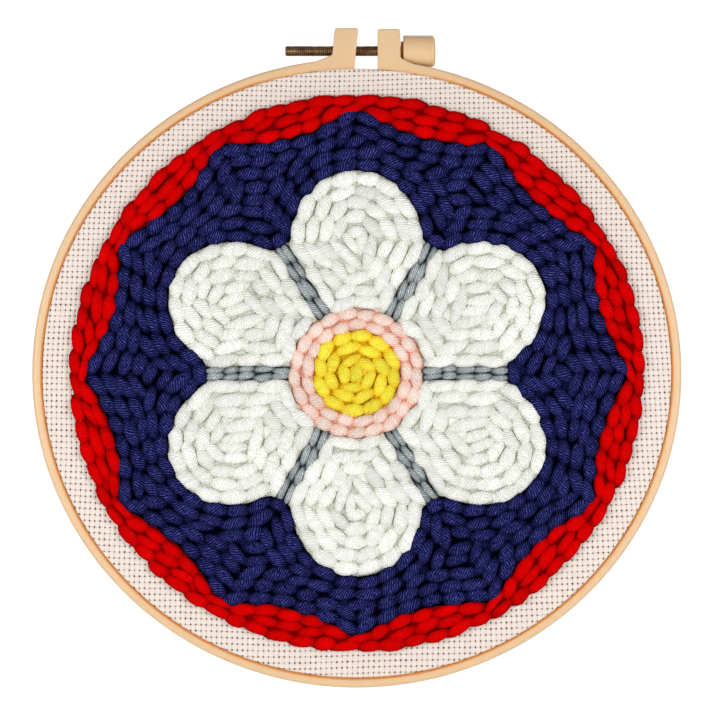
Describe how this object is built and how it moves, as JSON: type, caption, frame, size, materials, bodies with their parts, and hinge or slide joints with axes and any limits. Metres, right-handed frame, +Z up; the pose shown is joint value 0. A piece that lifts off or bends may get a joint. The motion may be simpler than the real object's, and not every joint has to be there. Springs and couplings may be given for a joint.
{
  "type": "punch needle wall piece in embroidery hoop",
  "caption": "Round punch needle wall piece: thick yarn stitched as a flower with a scalloped border on open-weave cloth, held in a split plastic hoop with a screw and round knob.",
  "frame": {"origin": "underside of the screw, midway between the lugs and midway in the hoop's depth, where a nail or hook carries the piece", "axes": "+X right along the screw towards the knob, +Y back towards the wall, +Z up; the stitched front looks along -Y"},
  "size_m": [0.2143, 0.0148, 0.2178],
  "materials": {
    "hoop_plastic": "satin beige moulded plastic",
    "screw_metal": "dark antique brass plated thread",
    "cloth": "off-white open even weave",
    "navy_yarn": "thick plied yarn",
    "white_yarn": "thick plied yarn",
    "red_yarn": "thick plied yarn",
    "grey_yarn": "thick plied yarn",
    "pink_yarn": "thick plied yarn",
    "yellow_yarn": "thick plied yarn"
  },
  "bodies": {
    "hoop": {"outer_hoop": "hoop_plastic", "inner_hoop": "hoop_plastic", "cloth": "cloth", "yellow_centre": "yellow_yarn", "pink_ring": "pink_yarn", "white_petal_1": "white_yarn", "white_petal_2": "white_yarn", "white_petal_3": "white_yarn", "white_petal_4": "white_yarn", "white_petal_5": "white_yarn", "white_petal_6": "white_yarn", "grey_vein_1": "grey_yarn", "grey_vein_2": "grey_yarn", "grey_vein_3": "grey_yarn", "grey_vein_4": "grey_yarn", "grey_vein_5": "grey_yarn", "grey_vein_6": "grey_yarn", "navy_ground": "navy_yarn", "red_border": "red_yarn", "loop_pile": "navy_yarn"},
    "screw": {"bolt": "screw_metal", "knob": "hoop_plastic"}
  },
  "joints": [
    {"name": "screw_turn", "type": "hinge", "parent": "hoop", "child": "screw", "pos_m": [0, 0, 0.0017], "axis": [1, 0, 0], "range_deg": [0, 990]}
  ]
}
